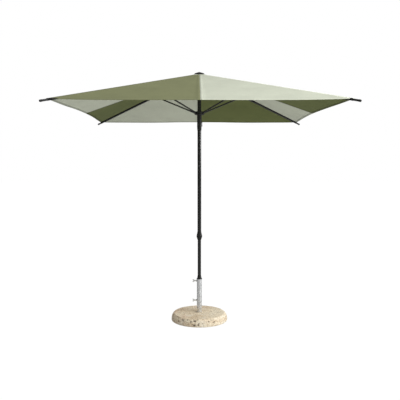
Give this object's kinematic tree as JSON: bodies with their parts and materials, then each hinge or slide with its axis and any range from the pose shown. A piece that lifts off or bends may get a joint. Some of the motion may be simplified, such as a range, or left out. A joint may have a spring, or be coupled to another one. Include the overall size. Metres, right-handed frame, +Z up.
{
  "type": "patio umbrella with base",
  "caption": "Square push-up patio umbrella with four folding ribs, alternating canvas panels, a telescoping mast and a round stone base with a clamping steel tube.",
  "frame": {"origin": "on the floor under the middle of the base, on the mast's axis", "axes": "+Z up along the mast, -Y towards the front hem, +X towards the latch; the thumb screws point to -X"},
  "size_m": [2.5062, 2.5062, 2.4966],
  "materials": {
    "stone": "matte",
    "galvanised_steel": "satin",
    "zinc_plated_steel": "satin",
    "black_powder_coat": "satin",
    "black_plastic": "satin",
    "rubber": "matte",
    "black_webbing": "matte",
    "green_canvas": "matte",
    "pale_canvas": "matte"
  },
  "bodies": {
    "base": {"base_slab": "stone", "base_tube": "galvanised_steel", "base_bolt": "zinc_plated_steel", "base_feet": "rubber"},
    "upper_screw": {"upper_screw": "zinc_plated_steel"},
    "lower_screw": {"lower_screw": "zinc_plated_steel"},
    "reducer": {"reducer_sleeve": "black_plastic"},
    "lower_mast": {"lower_pole": "black_powder_coat", "lower_pole_plug": "black_plastic", "guide_bush": "black_plastic"},
    "upper_mast": {"upper_pole": "black_powder_coat", "crown_hub": "black_plastic", "crown_pins": "zinc_plated_steel", "cap_stud": "zinc_plated_steel", "top_cap": "black_plastic", "crown_patch": "pale_canvas", "clamp_body": "black_plastic", "clamp_collet": "black_plastic"},
    "clamp_nut": {"clamp_nut": "black_plastic"},
    "runner": {"runner_hub": "black_plastic", "runner_grip": "black_plastic", "runner_pins": "zinc_plated_steel", "latch_spring": "zinc_plated_steel"},
    "latch": {"latch_lever": "black_plastic"},
    "rib_back_right": {"rib_back_right": "black_powder_coat", "rib_tip_back_right": "black_plastic", "corner_pocket_back_right": "black_webbing", "strut_bracket_back_right": "black_powder_coat"},
    "strut_back_right": {"strut_back_right": "black_powder_coat"},
    "rib_back_left": {"rib_back_left": "black_powder_coat", "rib_tip_back_left": "black_plastic", "corner_pocket_back_left": "black_webbing", "strut_bracket_back_left": "black_powder_coat"},
    "strut_back_left": {"strut_back_left": "black_powder_coat"},
    "rib_front_left": {"rib_front_left": "black_powder_coat", "rib_tip_front_left": "black_plastic", "corner_pocket_front_left": "black_webbing", "strut_bracket_front_left": "black_powder_coat"},
    "strut_front_left": {"strut_front_left": "black_powder_coat"},
    "rib_front_right": {"rib_front_right": "black_powder_coat", "rib_tip_front_right": "black_plastic", "corner_pocket_front_right": "black_webbing", "strut_bracket_front_right": "black_powder_coat"},
    "strut_front_right": {"strut_front_right": "black_powder_coat"},
    "gore_right_back_rib": {"gore_right_back_rib": "pale_canvas"},
    "gore_right_back_mid": {"gore_right_back_mid": "pale_canvas"},
    "gore_right_front_rib": {"gore_right_front_rib": "green_canvas"},
    "gore_right_front_mid": {"gore_right_front_mid": "green_canvas"},
    "gore_back_left_rib": {"gore_back_left_rib": "pale_canvas"},
    "gore_back_left_mid": {"gore_back_left_mid": "pale_canvas"},
    "gore_back_right_rib": {"gore_back_right_rib": "green_canvas"},
    "gore_back_right_mid": {"gore_back_right_mid": "green_canvas"},
    "gore_left_front_rib": {"gore_left_front_rib": "pale_canvas"},
    "gore_left_front_mid": {"gore_left_front_mid": "pale_canvas"},
    "gore_left_back_rib": {"gore_left_back_rib": "green_canvas"},
    "gore_left_back_mid": {"gore_left_back_mid": "green_canvas"},
    "gore_front_right_rib": {"gore_front_right_rib": "pale_canvas"},
    "gore_front_right_mid": {"gore_front_right_mid": "pale_canvas"},
    "gore_front_left_rib": {"gore_front_left_rib": "green_canvas"},
    "gore_front_left_mid": {"gore_front_left_mid": "green_canvas"}
  },
  "joints": [
    {"name": "upper_screw_turn", "type": "hinge", "parent": "base", "child": "upper_screw", "pos_m": [-0.045, 0, 0.393], "axis": [1, 0, 0], "continuous": true},
    {"name": "lower_screw_turn", "type": "hinge", "parent": "base", "child": "lower_screw", "pos_m": [-0.045, 0, 0.197], "axis": [1, 0, 0], "continuous": true},
    {"name": "mast_turn", "type": "hinge", "parent": "base", "child": "reducer", "pos_m": [0, 0, 0.41], "axis": [0, 0, 1], "continuous": true},
    {"name": "mast_lift", "type": "slide", "parent": "reducer", "child": "lower_mast", "axis": [0, 0, 1], "range_m": [0, 0.3]},
    {"name": "mast_height", "type": "slide", "parent": "lower_mast", "child": "upper_mast", "axis": [0, 0, 1], "range_m": [-0.25, 0.12]},
    {"name": "clamp_turn", "type": "hinge", "parent": "upper_mast", "child": "clamp_nut", "pos_m": [0, 0, 0.842], "axis": [0, 0, 1], "range_deg": [0, 120]},
    {"name": "runner_slide", "type": "slide", "parent": "upper_mast", "child": "runner", "axis": [0, 0, -1], "range_m": [0, 0.90891]},
    {"name": "latch_press", "type": "hinge", "parent": "runner", "child": "latch", "pos_m": [0.0265, 0, 1.99], "axis": [0, 1, 0], "range_deg": [0, 4.5], "stiffness_Nm_per_rad": 0.5, "deforming": ["latch_spring"]},
    {"name": "rib_fold_back_right", "type": "hinge", "parent": "upper_mast", "child": "rib_back_right", "pos_m": [0.02121, 0.02121, 2.46], "axis": [-0.7071, 0.7071, 0], "range_deg": [0, 72.99]},
    {"name": "strut_fold_back_right", "type": "hinge", "parent": "rib_back_right", "child": "strut_back_right", "pos_m": [0.46071, 0.46071, 2.29826], "axis": [0.7071, -0.7071, 0], "range_deg": [0, 141.94]},
    {"name": "rib_fold_back_left", "type": "hinge", "parent": "upper_mast", "child": "rib_back_left", "pos_m": [-0.02121, 0.02121, 2.46], "axis": [-0.7071, -0.7071, 0], "range_deg": [0, 72.99]},
    {"name": "strut_fold_back_left", "type": "hinge", "parent": "rib_back_left", "child": "strut_back_left", "pos_m": [-0.46071, 0.46071, 2.29826], "axis": [0.7071, 0.7071, 0], "range_deg": [0, 141.94]},
    {"name": "rib_fold_front_left", "type": "hinge", "parent": "upper_mast", "child": "rib_front_left", "pos_m": [-0.02121, -0.02121, 2.46], "axis": [0.7071, -0.7071, 0], "range_deg": [0, 72.99]},
    {"name": "strut_fold_front_left", "type": "hinge", "parent": "rib_front_left", "child": "strut_front_left", "pos_m": [-0.46071, -0.46071, 2.29826], "axis": [-0.7071, 0.7071, 0], "range_deg": [0, 141.94]},
    {"name": "rib_fold_front_right", "type": "hinge", "parent": "upper_mast", "child": "rib_front_right", "pos_m": [0.02121, -0.02121, 2.46], "axis": [0.7071, 0.7071, 0], "range_deg": [0, 72.99]},
    {"name": "strut_fold_front_right", "type": "hinge", "parent": "rib_front_right", "child": "strut_front_right", "pos_m": [0.46071, -0.46071, 2.29826], "axis": [-0.7071, -0.7071, 0], "range_deg": [0, 141.94]},
    {"name": "seam_fold_right_back", "type": "hinge", "parent": "rib_back_right", "child": "gore_right_back_rib", "pos_m": [0.55113, 0.55113, 2.29731], "axis": [-0.6889, -0.6889, 0.2254], "range_deg": [0, 77], "deforming": ["gore_right_back_rib"]},
    {"name": "gore_fold_right_back", "type": "hinge", "parent": "gore_right_back_rib", "child": "gore_right_back_mid", "pos_m": [0.70379, 0.29152, 2.2333], "axis": [0.8797, 0.3644, -0.3054], "range_deg": [0, 168.85], "deforming": ["gore_right_back_mid"]},
    {"name": "seam_fold_right_front", "type": "hinge", "parent": "rib_front_right", "child": "gore_right_front_rib", "pos_m": [0.55113, -0.55113, 2.29731], "axis": [0.6889, -0.6889, -0.2254], "range_deg": [0, 77], "deforming": ["gore_right_front_rib"]},
    {"name": "gore_fold_right_front", "type": "hinge", "parent": "gore_right_front_rib", "child": "gore_right_front_mid", "pos_m": [0.70379, -0.29152, 2.2333], "axis": [-0.8797, 0.3644, 0.3054], "range_deg": [0, 168.85], "deforming": ["gore_right_front_mid"]},
    {"name": "seam_fold_back_left", "type": "hinge", "parent": "rib_back_left", "child": "gore_back_left_rib", "pos_m": [-0.55113, 0.55113, 2.29731], "axis": [0.6889, -0.6889, 0.2254], "range_deg": [0, 77], "deforming": ["gore_back_left_rib"]},
    {"name": "gore_fold_back_left", "type": "hinge", "parent": "gore_back_left_rib", "child": "gore_back_left_mid", "pos_m": [-0.29152, 0.70379, 2.2333], "axis": [-0.3644, 0.8797, -0.3054], "range_deg": [0, 168.85], "deforming": ["gore_back_left_mid"]},
    {"name": "seam_fold_back_right", "type": "hinge", "parent": "rib_back_right", "child": "gore_back_right_rib", "pos_m": [0.55113, 0.55113, 2.29731], "axis": [0.6889, 0.6889, -0.2254], "range_deg": [0, 77], "deforming": ["gore_back_right_rib"]},
    {"name": "gore_fold_back_right", "type": "hinge", "parent": "gore_back_right_rib", "child": "gore_back_right_mid", "pos_m": [0.29152, 0.70379, 2.2333], "axis": [-0.3644, -0.8797, 0.3054], "range_deg": [0, 168.85], "deforming": ["gore_back_right_mid"]},
    {"name": "seam_fold_left_front", "type": "hinge", "parent": "rib_front_left", "child": "gore_left_front_rib", "pos_m": [-0.55113, -0.55113, 2.29731], "axis": [0.6889, 0.6889, 0.2254], "range_deg": [0, 77], "deforming": ["gore_left_front_rib"]},
    {"name": "gore_fold_left_front", "type": "hinge", "parent": "gore_left_front_rib", "child": "gore_left_front_mid", "pos_m": [-0.70379, -0.29152, 2.2333], "axis": [-0.8797, -0.3644, -0.3054], "range_deg": [0, 168.85], "deforming": ["gore_left_front_mid"]},
    {"name": "seam_fold_left_back", "type": "hinge", "parent": "rib_back_left", "child": "gore_left_back_rib", "pos_m": [-0.55113, 0.55113, 2.29731], "axis": [-0.6889, 0.6889, -0.2254], "range_deg": [0, 77], "deforming": ["gore_left_back_rib"]},
    {"name": "gore_fold_left_back", "type": "hinge", "parent": "gore_left_back_rib", "child": "gore_left_back_mid", "pos_m": [-0.70379, 0.29152, 2.2333], "axis": [0.8797, -0.3644, 0.3054], "range_deg": [0, 168.85], "deforming": ["gore_left_back_mid"]},
    {"name": "seam_fold_front_right", "type": "hinge", "parent": "rib_front_right", "child": "gore_front_right_rib", "pos_m": [0.55113, -0.55113, 2.29731], "axis": [-0.6889, 0.6889, 0.2254], "range_deg": [0, 77], "deforming": ["gore_front_right_rib"]},
    {"name": "gore_fold_front_right", "type": "hinge", "parent": "gore_front_right_rib", "child": "gore_front_right_mid", "pos_m": [0.29152, -0.70379, 2.2333], "axis": [0.3644, -0.8797, -0.3054], "range_deg": [0, 168.85], "deforming": ["gore_front_right_mid"]},
    {"name": "seam_fold_front_left", "type": "hinge", "parent": "rib_front_left", "child": "gore_front_left_rib", "pos_m": [-0.55113, -0.55113, 2.29731], "axis": [-0.6889, -0.6889, -0.2254], "range_deg": [0, 77], "deforming": ["gore_front_left_rib"]},
    {"name": "gore_fold_front_left", "type": "hinge", "parent": "gore_front_left_rib", "child": "gore_front_left_mid", "pos_m": [-0.29152, -0.70379, 2.2333], "axis": [0.3644, 0.8797, 0.3054], "range_deg": [0, 168.85], "deforming": ["gore_front_left_mid"]}
  ],
  "couplings": [
    {"joint": "rib_fold_back_right", "follows": "runner_slide", "rad_per_m": 1.4013},
    {"joint": "strut_fold_back_right", "follows": "runner_slide", "rad_per_m": 2.7252},
    {"joint": "rib_fold_back_left", "follows": "runner_slide", "rad_per_m": 1.4013},
    {"joint": "strut_fold_back_left", "follows": "runner_slide", "rad_per_m": 2.7252},
    {"joint": "rib_fold_front_left", "follows": "runner_slide", "rad_per_m": 1.4013},
    {"joint": "strut_fold_front_left", "follows": "runner_slide", "rad_per_m": 2.7252},
    {"joint": "rib_fold_front_right", "follows": "runner_slide", "rad_per_m": 1.4013},
    {"joint": "strut_fold_front_right", "follows": "runner_slide", "rad_per_m": 2.7252},
    {"joint": "seam_fold_right_back", "follows": "runner_slide", "rad_per_m": 1.4783},
    {"joint": "gore_fold_right_back", "follows": "runner_slide", "rad_per_m": 3.2419},
    {"joint": "seam_fold_right_front", "follows": "runner_slide", "rad_per_m": 1.4783},
    {"joint": "gore_fold_right_front", "follows": "runner_slide", "rad_per_m": 3.2419},
    {"joint": "seam_fold_back_left", "follows": "runner_slide", "rad_per_m": 1.4783},
    {"joint": "gore_fold_back_left", "follows": "runner_slide", "rad_per_m": 3.2419},
    {"joint": "seam_fold_back_right", "follows": "runner_slide", "rad_per_m": 1.4783},
    {"joint": "gore_fold_back_right", "follows": "runner_slide", "rad_per_m": 3.2419},
    {"joint": "seam_fold_left_front", "follows": "runner_slide", "rad_per_m": 1.4783},
    {"joint": "gore_fold_left_front", "follows": "runner_slide", "rad_per_m": 3.2419},
    {"joint": "seam_fold_left_back", "follows": "runner_slide", "rad_per_m": 1.4783},
    {"joint": "gore_fold_left_back", "follows": "runner_slide", "rad_per_m": 3.2419},
    {"joint": "seam_fold_front_right", "follows": "runner_slide", "rad_per_m": 1.4783},
    {"joint": "gore_fold_front_right", "follows": "runner_slide", "rad_per_m": 3.2419},
    {"joint": "seam_fold_front_left", "follows": "runner_slide", "rad_per_m": 1.4783},
    {"joint": "gore_fold_front_left", "follows": "runner_slide", "rad_per_m": 3.2419}
  ]
}
